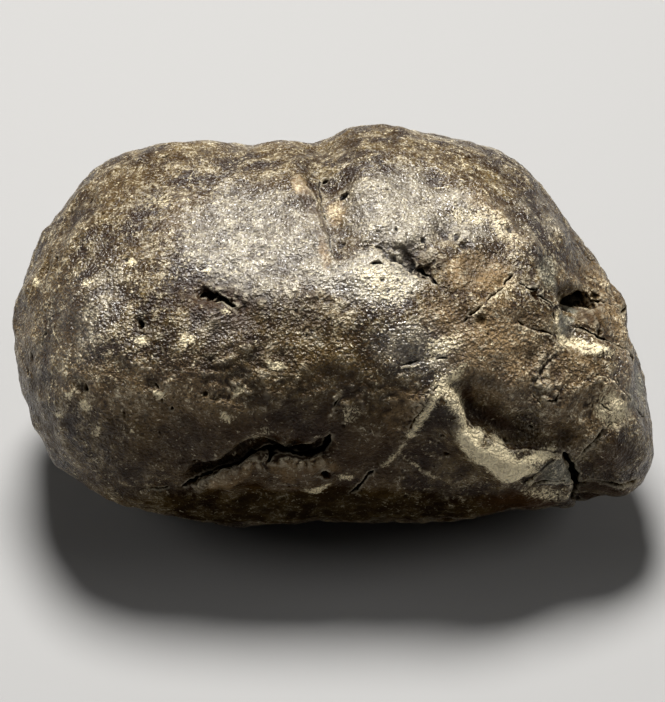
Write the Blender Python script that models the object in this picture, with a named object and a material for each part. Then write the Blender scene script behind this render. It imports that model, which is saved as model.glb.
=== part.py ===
"""Fossil shark coprolite: one loose, water-worn phosphate nodule, lying on a small flat spot.

The nodule is one solid, made as it would be in clay. A ball is drawn out into a long lump with two lobes and a
blunt snout, and flats, hollows, folds, cracks and borings are then pressed into it.
Metres, +Z up, +X along the nodule to its snout, origin on the floor under the middle of the lump.
"""

import math

import bmesh
import bpy
import numpy as np
from mathutils import Vector, noise
from mathutils.bvhtree import BVHTree

MM = 0.001

# Driving dimensions.
LENGTH = 115 * MM
SQUARENESS = 2.3  # exponent of the cross-section: 2 is an ellipse

# The centre line, and the four radii that the cross-section would have at full girth, in mm.
STATIONS = (
    # x, y, z, back, front, up, down
    (-57.5, 0.0, 31.0, 39.5, 46.0, 34.0, 41.0),
    (-50.0, 0.0, 31.5, 40.8, 48.8, 34.8, 42.4),
    (-43.5, 0.0, 31.5, 43.6, 46.2, 37.7, 39.2),
    (-35.5, 0.0, 31.5, 41.7, 43.2, 36.4, 36.7),
    (-28.5, 0.0, 31.5, 39.5, 40.0, 34.5, 35.0),
    (-18.5, 0.0, 31.5, 36.0, 38.0, 31.5, 33.5),
    (-7.0, 0.0, 31.5, 35.0, 36.5, 31.3, 32.5),
    (-1.5, 0.0, 31.5, 35.5, 36.0, 31.5, 32.5),
    (3.0, 0.0, 31.5, 36.5, 36.0, 33.0, 32.5),
    (11.0, 0.0, 31.5, 37.4, 36.5, 33.4, 32.5),
    (19.0, -0.5, 31.0, 39.0, 37.0, 34.0, 32.5),
    (27.0, -1.0, 30.5, 41.0, 38.6, 34.8, 33.0),
    (34.0, -2.5, 29.0, 42.6, 39.2, 36.2, 33.6),
    (39.5, -4.5, 27.5, 40.8, 38.8, 34.6, 33.2),
    (45.0, -7.0, 25.5, 39.2, 39.2, 33.9, 34.0),
    (50.0, -9.5, 23.5, 44.0, 39.0, 38.0, 34.0),
    (54.0, -12.5, 21.5, 45.0, 40.0, 38.5, 35.0),
    (57.5, -15.5, 19.5, 36.0, 40.0, 31.0, 36.0),
)

# Marks are laid out in mm, along and up, on sheets that face the nodule, and are carried to its surface by lines
# from an eye in front of each sheet's middle. Each sheet is named, with the azimuth that its eye looks along, where
# 0 is +Y, and the eye's elevation.
EYE_DISTANCE = 600 * MM
SHEET_MIDDLE = Vector((0, 0, 31.5 * MM))
SHEETS = {"front": (0, 40), "back": (180, 15), "left": (-80, 10), "right": (80, 10), "under": (0, -60)}

# Broad flats that wear has left: sheet, depth and radius in mm, and where the flat is deepest.
FLATS = (
    ("front", 1.1, 12.0, (32.0, -4.0)),  # plate above the hollow
    ("front", 0.6, 8.0, (27.0, 12.0)),  # plate behind it
    ("front", 0.8, 14.0, (6.0, -24.0)),  # belly
    ("front", 0.6, 10.0, (13.0, 24.0)),  # top of the front lobe
    ("front", 0.7, 5.0, (40.0, -29.5)),  # broken face under the rim
    ("front", 1.2, 10.0, (56.0, -10.0)),  # slab at the end of the snout
    ("back", 1.2, 16.0, (24.0, -4.0)),
    ("back", 1.0, 15.0, (-24.0, -2.0)),
    ("back", 0.8, 12.0, (2.0, -16.0)),
)

# Folds, hollows and ridges: sheet, depth, width to the left and to the right of the line as it runs, and the line.
# A negative depth stands proud.
FOLDS = (
    # crease between the two lobes, with the ridge beside it, and its run down the far side
    ("front", 1.8, 8.0, 4.6, ((-1.5, 35.0), (-1.2, 29.0), (-1.6, 24.5), (-0.4, 20.0), (1.4, 15.0), (3.2, 7.0))),
    ("front", -0.6, 4.0, 5.5, ((-7.0, 28.0), (-6.6, 22.0), (-4.6, 17.0), (-2.2, 12.0), (-0.5, 5.5))),
    ("back", 1.6, 7.0, 8.0, ((3.0, 26.0), (3.0, 18.0), (1.0, 9.0), (3.5, -4.0))),
    # shoulders of the rear lobe and of the front lobe
    ("front", -0.7, 7.0, 6.0, ((-24.0, 8.0), (-15.0, 6.0), (-6.0, 5.0), (4.0, 4.5))),
    ("front", -0.9, 5.0, 4.0, ((23.0, 30.0), (29.5, 21.0), (34.7, 15.0), (39.0, 11.5))),
    # shallow trough of the rough bite beside the crease, and its upper branch
    ("front", 0.8, 3.5, 3.0, ((5.5, 15.0), (9.5, 13.8), (13.5, 12.2), (17.0, 9.8), (19.5, 7.6))),
    ("front", 0.7, 4.0, 3.0, ((15.0, 12.0), (17.5, 15.5), (21.0, 18.0), (26.5, 19.8))),
    # re-entrant hollow under the plate, with a long slope on the plate's side and a short wall on the rim's
    (
        "front",
        3.9,
        9.5,
        1.7,
        ((24.2, -7.0), (23.6, -12.5), (24.6, -16.3), (27.6, -18.9), (31.0, -20.2), (36.5, -21.6), (43.0, -23.2)),
    ),
    # rim below that hollow, broader towards the snout, with a small ledge under it
    ("front", -1.3, 1.3, 5.5, ((21.2, -8.5), (21.0, -14.0), (22.6, -18.6), (26.5, -21.8), (36.0, -24.2))),
    ("front", -0.9, 2.0, 4.0, ((31.0, -23.2), (36.0, -24.4), (42.5, -25.4))),
    ("front", 0.9, 1.6, 1.8, ((30.0, -28.0), (35.0, -28.2), (41.5, -27.8))),
    # overhung fissure under the rear lobe, the ledge below it, and the small fold at its rear end
    (
        "front",
        2.8,
        1.5,
        2.6,
        (
            (-26.5, -27.8),
            (-23.5, -26.0),
            (-19.3, -24.8),
            (-15.8, -22.6),
            (-12.0, -21.3),
            (-9.0, -22.6),
            (-2.5, -22.5),
            (-0.6, -19.8),
        ),
    ),
    ("front", -1.2, 2.8, 6.0, ((-26.0, -30.2), (-19.5, -27.6), (-12.0, -25.6), (-3.0, -25.6), (2.0, -24.0))),
    ("front", 1.0, 1.5, 2.2, ((-36.0, -29.0), (-32.0, -29.5), (-28.0, -28.4))),
    # pale vein that runs down from the plate
    ("front", -0.8, 1.5, 1.5, ((22.0, -7.0), (18.5, -11.5), (15.5, -16.5), (12.5, -21.5), (9.0, -25.0))),
    # socket in the snout, overhung from behind, and the smooth scoop below it
    ("front", 4.0, 1.9, 5.0, ((40.5, 3.8), (43.0, 6.0), (46.5, 6.2), (50.5, 4.4))),
    ("front", 1.7, 4.5, 1.5, ((40.6, 3.0), (41.6, -1.0), (44.6, -3.4), (49.5, -3.6))),
    # groove trailing from the large boring
    ("front", 0.9, 1.5, 1.6, ((-21.0, 5.4), (-17.7, 4.0), (-15.0, 2.2), (-12.0, 0.4))),
    # fold and hollows of the far side
    ("back", 2.0, 2.0, 4.0, ((-37.0, 3.0), (-31.0, -3.0), (-25.0, -5.0), (-20.0, -11.0), (-13.0, -13.0))),
    ("back", 1.5, 6.0, 8.0, ((24.0, -14.0), (33.0, -12.0), (40.0, -17.0))),
    ("back", 1.2, 7.0, 5.0, ((14.0, 14.0), (22.0, 10.0), (27.0, 2.0))),
    ("left", 1.0, 6.0, 6.0, ((-14.0, 6.0), (-6.0, 2.0))),
    ("left", 1.0, 2.5, 5.0, ((-19.0, 6.0), (-12.0, -2.0), (-14.0, -10.0), (-6.0, -19.0))),
    ("right", 1.0, 4.0, 5.0, ((2.0, -2.0), (8.0, -9.0), (17.0, -10.0))),
    ("under", 1.4, 5.0, 6.0, ((-40.0, 14.0), (-32.0, 6.0), (-34.0, -6.0))),
    ("under", 1.5, 3.0, 5.0, ((26.0, -14.0), (32.0, -4.0), (41.0, 2.0))),
)

# Plate edges: sheet, depth by which the ground to the left of the line as it runs is set back, how far that ground
# takes to come level again, and the line.
STEPS = (
    ("front", 0.5, 6.0, ((33.2, 10.3), (28.3, 6.0), (24.0, 1.8))),
    ("front", 0.8, 6.0, ((34.5, -3.5), (35.5, -10.0), (35.0, -16.0))),
    ("front", 0.5, 5.0, ((44.3, -23.8), (47.5, -20.8), (51.5, -17.0))),
    ("front", 3.4, 9.0, ((42.2, -24.0), (43.2, -26.5), (43.6, -29.0), (43.8, -34.0))),  # broken end of the rim
    ("back", 0.9, 8.0, ((-9.0, 16.0), (-19.0, 12.0), (-26.0, 4.0))),
)

# Hollows and borings, as dents: sheet, depth, radius and middle. A negative depth stands proud.
DENTS = (
    ("front", 1.6, 3.2, (44.6, 4.6)),  # deepest part of the socket
    ("front", -1.6, 5.5, (53.0, 4.5)),
    ("front", 3.0, 1.8, (-22.3, 5.6)),  # large boring of the rear lobe
    ("front", -0.6, 2.6, (-20.8, 2.0)),
    ("front", 1.5, 1.3, (-34.7, 0.3)),
    ("front", 2.0, 1.7, (-44.6, -10.9)),
    ("front", 1.2, 1.5, (-32.3, -10.8)),
    ("front", 1.2, 1.4, (-17.3, -10.8)),
    ("front", 1.2, 1.4, (-19.5, -12.6)),
    ("front", 1.3, 1.2, (1.9, 23.8)),
    ("front", 1.2, 1.1, (-1.3, 26.4)),
    ("front", 1.2, 1.7, (6.6, 14.3)),  # the bite's ragged floor
    ("front", 0.9, 2.2, (10.2, 12.6)),
    ("front", 1.5, 2.4, (13.8, 12.0)),
    ("front", 2.4, 2.3, (17.2, 9.8)),
    ("front", 1.1, 2.4, (16.2, 14.8)),
    ("front", 1.0, 2.8, (20.5, 17.4)),
    ("front", 0.8, 2.2, (25.0, 19.2)),
    ("front", -0.5, 2.4, (13.5, 15.2)),
    ("front", 1.2, 4.0, (46.5, -15.5)),  # hollows above the snout's lowest lobe
    ("front", 1.5, 3.4, (41.5, -19.5)),
    ("front", -0.9, 6.0, (50.5, -22.5)),
    ("back", 2.2, 5.0, (-40.0, -9.0)),
    ("back", 1.6, 3.5, (-35.5, -12.0)),
    ("back", 2.2, 1.7, (12.0, 6.0)),
    ("back", 1.6, 1.4, (17.0, -16.0)),
    ("back", 1.8, 1.6, (38.0, 7.0)),
    ("back", 1.8, 1.8, (43.0, -8.0)),
    ("back", 1.5, 1.4, (-9.0, 2.0)),
    ("left", 1.6, 1.7, (-4.0, 9.0)),
    ("left", 1.4, 1.4, (-1.0, -17.0)),
    ("right", 1.6, 1.6, (14.0, 4.0)),
    ("under", 1.8, 1.8, (-28.0, 14.0)),
    ("under", 1.6, 1.5, (22.0, 16.0)),
    ("under", 1.6, 1.6, (-38.0, -8.0)),
)

# Narrow cracks: sheet, depth, half width and line.
CRACKS = (
    ("front", 1.1, 0.7, ((33.2, 10.3), (31.0, 8.8), (28.3, 6.0), (25.6, 3.8), (23.5, 1.6))),
    ("front", 0.8, 0.7, ((33.4, 9.3), (35.6, 7.2), (38.3, 4.5), (40.5, 2.6))),
    ("front", 1.6, 0.8, ((45.0, -0.1), (48.2, -1.5), (51.4, -2.3), (54.0, -4.4))),
    ("front", 1.1, 0.7, ((44.0, -23.9), (46.4, -21.8), (49.1, -19.0), (52.0, -16.4))),
    ("front", 1.6, 0.8, ((44.3, -28.6), (49.0, -28.4), (54.5, -27.6))),
    ("front", 2.2, 0.9, ((-9.4, -22.2), (-11.8, -24.8))),
    ("front", 1.0, 0.7, ((7.4, -25.7), (5.2, -28.0), (3.0, -30.5))),
    ("front", 0.6, 0.7, ((11.8, -6.2), (16.0, -6.0), (20.5, -5.4))),
    ("front", 0.7, 0.7, ((32.6, 1.8), (35.0, 0.2), (37.8, -0.6))),
    ("front", 1.2, 0.8, ((35.8, -10.0), (37.6, -14.0), (36.4, -16.0))),
    ("front", 0.9, 0.7, ((45.6, -13.6), (48.0, -13.4), (51.0, -14.6))),
    ("back", 1.4, 0.9, ((-3.0, -2.0), (-9.0, -7.0), (-15.0, -8.0), (-21.0, -7.0))),
    ("back", 1.2, 0.9, ((16.0, -6.0), (22.0, -13.0), (20.0, -20.0), (25.0, -25.0))),
)

SHORTEST_FADE = 2.5  # mm over which a line rises from nothing at each end: a wide fold takes its own width
STEP_RISE = 0.7 * MM  # half the width of a plate edge's face

# Every mark wanders from its line by this much, in mm, over this wavelength.
WANDER = ((6.0, 0.6), (3.0, 0.28))

# Gentle unevenness all over: wavelength and height, in mm.
UNEVENNESS = ((20.0, 0.9), (9.0, 0.5), (4.5, 0.26))

BALL_SUBDIVISIONS = 8  # of the ball that the marks are pressed into
TRIANGLES = 9600  # kept of it, most of them where the surface bends


def smooth_curve(knots, values, at):
    """A smooth curve through the values at the knots, read at each of the given points."""
    slopes = np.gradient(values, knots, axis=0)
    i = np.clip(np.searchsorted(knots, at) - 1, 0, len(knots) - 2)
    span = knots[i + 1] - knots[i]
    t = np.clip((at - knots[i]) / span, 0, 1)
    if values.ndim == 2:
        span, t = span[:, None], t[:, None]
    return (
        values[i] * (1 + 2 * t) * (1 - t) ** 2
        + values[i + 1] * (3 - 2 * t) * t**2
        + span * slopes[i] * t * (1 - t) ** 2
        - span * slopes[i + 1] * (1 - t) * t**2
    )


def smooth_lump(ball):
    """Where each point of the unit ball goes on the smooth lump."""
    x = ball[:, 0] * LENGTH / 2 / MM
    stations = np.array(STATIONS)
    middle_y, middle_z, back, front, up, down = smooth_curve(stations[:, 0], stations[:, 1:], x).T
    ring = np.maximum(np.hypot(ball[:, 1], ball[:, 2]), 1e-9)
    cos, sin = ball[:, 1] / ring, ball[:, 2] / ring
    square = (abs(cos) ** SQUARENESS + abs(sin) ** SQUARENESS) ** (-1 / SQUARENESS)
    y = middle_y + ball[:, 1] * np.where(ball[:, 1] > 0, back, front) * square
    z = middle_z + ball[:, 2] * np.where(ball[:, 2] > 0, up, down) * square
    return np.column_stack([x, y, z]) * MM


def smooth_normals(ball):
    """The smooth lump's outward normals, from its slope along two directions on the ball."""
    step = 1e-3  # on the unit ball
    helper = np.where(abs(ball[:, 2:]) < 0.9, [[0.0, 0.0, 1.0]], [[0.0, 1.0, 0.0]])
    across = np.cross(helper, ball)
    across /= np.linalg.norm(across, axis=1, keepdims=True)
    over = np.cross(ball, across)
    slopes = []
    for direction in (across, over):
        ends = [ball + sign * step * direction for sign in (1, -1)]
        ends = [smooth_lump(end / np.linalg.norm(end, axis=1, keepdims=True)) for end in ends]
        slopes.append(ends[0] - ends[1])
    normals = np.cross(*slopes)
    return normals / np.linalg.norm(normals, axis=1, keepdims=True)


def ball_mesh(subdivisions):
    bm = bmesh.new()
    bmesh.ops.create_icosphere(bm, subdivisions=subdivisions, radius=1.0)
    return bm


def carrier():
    """A function that carries a point of a sheet, in mm, to the smooth lump: its place and outward normal."""
    bm = ball_mesh(6)
    places = smooth_lump(np.array([v.co for v in bm.verts]))
    for vert, place in zip(bm.verts, places):
        vert.co = place
    tree = BVHTree.FromBMesh(bm)
    bm.free()

    def carried(sheet, along, up):
        azimuth, elevation = (math.radians(angle) for angle in SHEETS[sheet])
        right = Vector((math.cos(azimuth), math.sin(azimuth), 0))
        ahead = Vector((-math.sin(azimuth), math.cos(azimuth), 0)) * math.cos(elevation)
        ahead.z = -math.sin(elevation)
        eye = SHEET_MIDDLE - ahead * EYE_DISTANCE
        target = SHEET_MIDDLE + (right * along + right.cross(ahead) * up) * MM
        place, normal, _, _ = tree.ray_cast(eye, (target - eye).normalized())
        if place is None:  # past the outline, so the nearest point of it
            place, normal, _, _ = tree.find_nearest(target)
        return np.array(place), np.array(normal)

    return carried


def carried_line(carried, sheet, points):
    """A line of a sheet on the lump, rounded through its points: places and normals about 1 mm apart."""
    points = np.array(points)
    knots = np.concatenate([[0], np.cumsum(np.linalg.norm(np.diff(points, axis=0), axis=1))])
    steps = np.linspace(0, knots[-1], max(2, math.ceil(knots[-1])))
    found = [carried(sheet, *point) for point in smooth_curve(knots, points, steps)]
    return np.array([f[0] for f in found]), np.array([f[1] for f in found])


def from_line(places, line, normals, fade):
    """Each place's distance from the line, its side of the line (positive to the left of the way that the line runs)
    and the share of a mark that reaches it: 1 along the line, with this fade at both ends."""
    nearest = np.full(len(places), np.inf)
    left = np.zeros(len(places))
    run_to = np.zeros(len(places))
    lengths = np.linalg.norm(np.diff(line, axis=0), axis=1)
    for k, length in enumerate(lengths):
        run = (line[k + 1] - line[k]) / length
        t = np.clip((places - line[k]) @ run, 0, length)
        off = places - line[k] - t[:, None] * run
        distance = np.linalg.norm(off, axis=1)
        closer = distance < nearest
        nearest[closer] = distance[closer]
        left[closer] = (off @ np.cross(normals[k], run))[closer]
        run_to[closer] = lengths[:k].sum() + t[closer]
    return nearest, left, eased(np.minimum(run_to, lengths.sum() - run_to) / fade)


def eased(t):
    """0 up to 1, level at both ends."""
    t = np.clip(t, 0, 1)
    return t * t * (3 - 2 * t)


def pressed(carried, places):
    """How far every mark together presses the smooth lump inwards at each place, in metres."""
    depth = np.zeros(len(places))
    for sheet, deep, radius, middle in FLATS:
        point, normal = carried(sheet, *middle)
        above = np.maximum((places - point) @ normal + deep * MM, 0)
        t = np.clip(np.linalg.norm(places - point, axis=1) / (radius * MM), 0, 1)
        depth += above * (1 - t**2)
    for sheet, deep, left_width, right_width, points in FOLDS:
        fade = max(left_width, right_width, SHORTEST_FADE) * MM
        distance, left, share = from_line(places, *carried_line(carried, sheet, points), fade)
        t = np.clip(distance / (np.where(left > 0, left_width, right_width) * MM), 0, 1)
        depth += deep * MM * (1 - t**2) ** 2 * share
    for sheet, deep, reach, points in STEPS:
        distance, left, share = from_line(places, *carried_line(carried, sheet, points), SHORTEST_FADE * MM)
        t = np.clip(distance / (reach * MM), 0, 1)
        depth += deep * MM * eased((left + STEP_RISE) / (2 * STEP_RISE)) * (1 - t**2) ** 2 * share
    for sheet, deep, radius, middle in DENTS:
        point, _ = carried(sheet, *middle)
        t = np.clip(np.linalg.norm(places - point, axis=1) / (radius * MM), 0, 1)
        depth += deep * MM * (1 - t**2) ** 2
    for sheet, deep, half_width, points in CRACKS:
        distance, _, share = from_line(places, *carried_line(carried, sheet, points), SHORTEST_FADE * MM)
        t = np.clip(distance / (half_width * MM), 0, 1)
        depth += deep * MM * eased(1 - t) * share
    return depth


def uneven(places):
    """The gentle unevenness at each place, outwards, in metres."""
    total = np.zeros(len(places))
    for wavelength, height in UNEVENNESS:
        waves = [noise.noise(Vector(place) / (wavelength * MM)) for place in places]
        total += height * MM * np.array(waves)
    return total


def wandered(places):
    """The places, shifted a little this way and that, so that marks pressed at them wander."""
    shifted = places.copy()
    for wavelength, reach in WANDER:
        waves = [noise.noise_vector(Vector(place) / (wavelength * MM)) for place in places]
        shifted += reach * MM * np.array(waves)
    return shifted


def pressed_lump(carried):
    """The lump with every mark pressed in, as an object of TRIANGLES triangles."""
    bm = ball_mesh(BALL_SUBDIVISIONS)
    ball = np.array([v.co for v in bm.verts])
    places = smooth_lump(ball)
    outwards = uneven(places) - pressed(carried, wandered(places))
    for vert, place in zip(bm.verts, places + smooth_normals(ball) * outwards[:, None]):
        vert.co = place
    mesh = bpy.data.meshes.new("coprolite")
    bm.to_mesh(mesh)
    bm.free()
    lump = bpy.data.objects.new("coprolite", mesh)
    bpy.context.scene.collection.objects.link(lump)
    thin = lump.modifiers.new("Thin out", "DECIMATE")
    thin.ratio = TRIANGLES / len(mesh.polygons)
    return lump


def set_down(lump):
    """Cuts the thinned lump off flat at the floor, where it rests, and centres it over the origin."""
    bm = bmesh.new()
    bm.from_object(lump, bpy.context.evaluated_depsgraph_get())
    lump.modifiers.clear()
    everything = bm.verts[:] + bm.edges[:] + bm.faces[:]
    cut = bmesh.ops.bisect_plane(bm, geom=everything, plane_co=(0, 0, 0), plane_no=(0, 0, -1), clear_outer=True)
    rim = [part for part in cut["geom_cut"] if isinstance(part, bmesh.types.BMEdge)]
    bmesh.ops.contextual_create(bm, geom=rim)
    bmesh.ops.recalc_face_normals(bm, faces=bm.faces[:])
    places = np.array([v.co for v in bm.verts])
    middle = (places.min(axis=0) + places.max(axis=0)) / 2
    bmesh.ops.translate(bm, vec=(-middle[0], -middle[1], 0), verts=bm.verts[:])
    bm.to_mesh(lump.data)
    bm.free()
    lump.data.shade_smooth()


def phosphate():
    """Dark brown phosphate, with the dull polish that river gravel gives it."""
    material = bpy.data.materials.new("worn phosphate")
    material.use_nodes = True
    shader = material.node_tree.nodes["Principled BSDF"]
    shader.inputs["Base Color"].default_value = (0.13, 0.095, 0.06, 1)
    shader.inputs["Roughness"].default_value = 0.5
    shader.inputs["Metallic"].default_value = 0.0
    return material


def main():
    for obj in list(bpy.data.objects):
        bpy.data.objects.remove(obj)
    coprolite = pressed_lump(carrier())
    set_down(coprolite)
    coprolite.data.materials.append(phosphate())


main()
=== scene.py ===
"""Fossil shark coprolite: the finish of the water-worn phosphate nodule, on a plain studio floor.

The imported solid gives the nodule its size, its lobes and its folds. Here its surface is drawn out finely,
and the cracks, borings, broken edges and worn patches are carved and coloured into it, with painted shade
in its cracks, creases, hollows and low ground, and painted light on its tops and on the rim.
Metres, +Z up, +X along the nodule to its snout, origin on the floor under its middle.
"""

import math

import bpy
import numpy as np
from bpy.props import FloatProperty, FloatVectorProperty, IntProperty, PointerProperty
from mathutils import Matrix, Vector, noise
from mathutils.bvhtree import BVHTree
from mathutils.kdtree import KDTree


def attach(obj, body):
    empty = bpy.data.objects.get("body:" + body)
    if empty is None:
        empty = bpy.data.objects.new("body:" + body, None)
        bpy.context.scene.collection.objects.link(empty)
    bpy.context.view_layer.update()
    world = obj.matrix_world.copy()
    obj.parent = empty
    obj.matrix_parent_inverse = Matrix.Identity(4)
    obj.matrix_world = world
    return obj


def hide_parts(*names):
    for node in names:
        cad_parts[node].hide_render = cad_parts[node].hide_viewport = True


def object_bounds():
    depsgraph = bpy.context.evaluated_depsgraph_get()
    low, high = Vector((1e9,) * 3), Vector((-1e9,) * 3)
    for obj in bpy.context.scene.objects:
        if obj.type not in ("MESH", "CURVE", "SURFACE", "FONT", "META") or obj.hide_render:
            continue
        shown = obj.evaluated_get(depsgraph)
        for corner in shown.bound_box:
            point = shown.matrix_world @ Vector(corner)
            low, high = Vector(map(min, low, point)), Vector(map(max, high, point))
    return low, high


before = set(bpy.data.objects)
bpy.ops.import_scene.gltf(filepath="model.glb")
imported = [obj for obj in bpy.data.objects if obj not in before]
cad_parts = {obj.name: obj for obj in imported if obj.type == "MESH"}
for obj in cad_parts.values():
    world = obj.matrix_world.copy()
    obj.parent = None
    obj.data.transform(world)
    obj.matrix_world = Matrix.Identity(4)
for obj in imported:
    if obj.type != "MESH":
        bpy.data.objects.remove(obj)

bl_info = {
    "name": "Fossil shark coprolite",
    "version": (1, 0, 0),
    "blender": (4, 5, 0),
    "location": "3D View > Sidebar > Coprolite",
    "description": "Finishes a water-worn phosphate nodule and sets it on a studio floor",
    "category": "Object",
}

MM = 0.001
NODE = "coprolite"
CAD_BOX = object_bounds()

# Marks are laid out in mm, along and up, on sheets that face the nodule, and are carried to its surface by
# lines from an eye in front of each sheet's middle. Each sheet is named, with the azimuth that its eye looks
# along, where 0 is +Y, and the eye's elevation.
EYE_DISTANCE = 600 * MM
SHEET_MIDDLE = Vector((0, 0, 31.5 * MM))
SHEETS = {"front": (0, 40), "back": (180, 15), "left": (-80, 10), "right": (80, 10), "under": (0, -60)}

# Cracks: sheet, depth and half width in mm, slant, and line. The slant undercuts the ground to the left of
# the line as it runs, by that share of the depth.
CRACKS = (
    # between the plates at the snout's end
    ("front", 1.1, 0.29, 0.3,
     ((32.9, 10.1), (31.1, 7.6), (28.2, 5.2), (26.6, 3.6), (24.8, 2.2), (23.6, 0.7))),
    ("front", 0.8, 0.2, 0.4, ((33.3, 9.2), (34.4, 7.8), (35.6, 6.7), (36.9, 6.5))),
    ("front", 0.8, 0.19, 0.4, ((36.9, 5.4), (38.9, 4.3), (40.2, 3.2))),
    ("front", 0.5, 0.25, 0.2,
     ((33.3, 1.1), (34.6, 0.4), (35.6, -0.2), (37.5, -0.5), (39.3, -1.3), (40.7, -2.3))),
    ("front", 0.6, 0.27, 0, ((39.8, 2.9), (40, 0.5), (40.3, -1.4))),
    ("front", 0.5, 0.2, 0, ((30.2, 19.1), (30.8, 17.9), (31.1, 16.4))),
    # from the socket to the snout's end
    ("front", 1, 0.34, 0.7,
     ((44, 0.1), (46.5, -1.1), (47.9, -1.8), (50.1, -2.3), (51.5, -3.1), (52.8, -4.2), (54.2, -5.6))),
    # across the snout's lowest lobe
    ("front", 1, 0.38, 0.4,
     ((43.2, -25), (44.7, -23.1), (46.1, -21.7), (47.4, -20), (48.6, -19), (49.7, -18.1), (50.6, -17.3))),
    ("front", 0.8, 0.2, 0.5, ((46.1, -14.1), (47.2, -13.5), (48.6, -13.9), (49.7, -14.6), (50.8, -15.3))),
    ("front", 0.5, 0.2, 0.3, ((46.5, -9.4), (48.3, -8.8), (49.5, -9.2), (50.5, -10.5))),
    ("front", 0.7, 0.25, 0, ((51.4, -8.8), (51.9, -10.3), (52.8, -11.6), (54.1, -13.2))),
    ("front", 0.6, 0.24, 0, ((54.8, -14.4), (55.7, -15.5), (56.6, -16.4))),
    ("front", 0.6, 0.2, 0, ((35.8, -10.1), (36, -11.9), (36.7, -13), (37.5, -14.1), (36.7, -15.5))),
    ("front", 0.6, 0.2, 0.2, ((37.8, -13.2), (39.3, -13.5), (40.3, -13.7), (40.7, -12.8), (40.7, -11.6))),
    # broken end of the rim, and the ledge under it
    ("front", 2.4, 0.8, 0.3,
     ((41.3, -22.8), (42.9, -24.4), (43.5, -25.8), (43.8, -27.6), (44, -30), (44.1, -33))),
    ("front", 0.9, 0.27, 0.5, ((35.1, -28.9), (36.6, -28.2), (38.4, -27.8), (40.3, -27.6), (42.1, -27.8))),
    ("front", 1.2, 0.6, 0.8,
     ((44.3, -28.5), (46.8, -27.8), (48.6, -28.3), (50.8, -28.7), (52.8, -28.5), (55.1, -27.6))),
    # overhung fissure under the rear lobe, in two stretches, and its branch
    ("front", 0.8, 0.36, 0.2, ((-27.5, -29.2), (-24.6, -27.3), (-21, -25.7), (-17.4, -24.4), (-14.6, -23))),
    ("front", 2, 0.54, 0.5,
     ((-16, -23.6), (-13.4, -22.5), (-10.6, -21.9), (-7.6, -22.6), (-4, -23), (-1.8, -21.8),
      (-0.4, -19.4))),
    ("front", 1.8, 0.7, 0, ((-10.2, -21.4), (-11, -23.2), (-11.9, -24.8))),
    ("front", 0.6, 0.25, 0.5, ((-35.1, -29.4), (-33.3, -29.1), (-31.1, -29.1), (-29, -28.5))),
    # scratch across the middle, the dark edge of the vein, and the crack that the vein runs into
    ("front", 0.45, 0.22, 0.3,
     ((11.8, -7), (13.6, -6.5), (15.8, -6.1), (18, -5.8), (20.1, -5.4), (21.4, -6.1))),
    ("front", 0.25, 0.2, 0, ((19.6, -9.9), (17.2, -13.4), (16, -15.3), (14.5, -17.5), (13.1, -19.5))),
    ("front", 0.8, 0.27, 0.2, ((8, -25.3), (6.6, -26.5), (5.3, -28), (4.2, -29.1), (3.2, -30.5))),
    ("front", 0.9, 0.25, 0, ((1.2, -12.8), (0.6, -13.7), (0.1, -15.5))),
    # rough bite beside the crease, and the boring of the rear lobe
    ("front", 0.5, 0.26, 0.5, ((6.2, 14.8), (7.7, 14.6), (8.8, 14.3), (9.7, 13.4))),
    ("front", 1, 0.45, 0.6, ((6.6, 11.1), (7.6, 11.6), (8.6, 11.6), (9.4, 11.1))),
    ("front", 0.9, 0.45, 0.4, ((15.4, 10.4), (17.4, 9.2), (19, 7.4))),
    ("front", 0.7, 0.7, 0.2, ((16.8, 9.5), (18, 9.2))),
    ("front", 0.9, 0.4, 0.4, ((-24.2, 5.3), (-22.6, 5.9), (-20.6, 5.4), (-18.6, 4.2), (-17, 3.4))),
    # socket's overhung back edge
    ("front", 1.9, 1, 0.4, ((41, 4.6), (42.6, 5.2), (44, 5.6), (45.4, 4.9))),
    # crease between the lobes
    ("front", 0.3, 0.22, 0, ((-2.1, 26.9), (-2.4, 24.7), (-1.9, 22), (-1, 19), (-0.3, 15.7), (0.3, 12.8))),
    ("front", 0.3, 0.18, 0, ((10.4, 25.1), (8.6, 24.5), (6.9, 23.8))),
    ("front", 0.3, 0.18, 0, ((7.9, 22.6), (6.4, 21.7), (5.1, 20.9))),
    # slits of the rear lobe
    ("front", 1, 0.27, 0.6, ((-33, -10), (-31.8, -10.5), (-30.7, -11.4))),
    ("front", 1, 0.27, 0.5, ((-18.2, -10.6), (-17.4, -10.8), (-16.6, -10.8))),
    ("front", 0.9, 0.25, 0.5, ((-20.9, -13.4), (-19.8, -12.6), (-18.9, -11.9))),
    # far side and ends
    ("back", 1, 0.3, 0.2, ((-3, -2), (-9, -7), (-15, -8), (-21, -7))),
    ("back", 0.9, 0.27, 0.2, ((16, -6), (22, -13), (20, -20), (25, -25))),
    ("back", 0.7, 0.23, 0, ((-12, 12), (-17, 9.5), (-20, 5), (-26, 3))),
    ("back", 0.6, 0.22, 0.3, ((30, 10), (34, 6), (40, 5))),
    ("back", 0.6, 0.22, 0, ((6, 16), (9, 11), (14, 10))),
    ("left", 0.7, 0.24, 0.3, ((-20, -4), (-13, -7), (-8, -13))),
    ("left", 0.5, 0.2, 0, ((4, 10), (9, 5), (11, -2))),
    ("right", 0.7, 0.24, 0.3, ((-4, 6), (2, 3), (6, -4), (12, -6))),
    ("under", 0.8, 0.25, 0.2, ((-30, 4), (-24, -2), (-20, -9))),
    ("under", 0.8, 0.25, 0, ((20, 6), (28, 2), (33, -6))),
)

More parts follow.
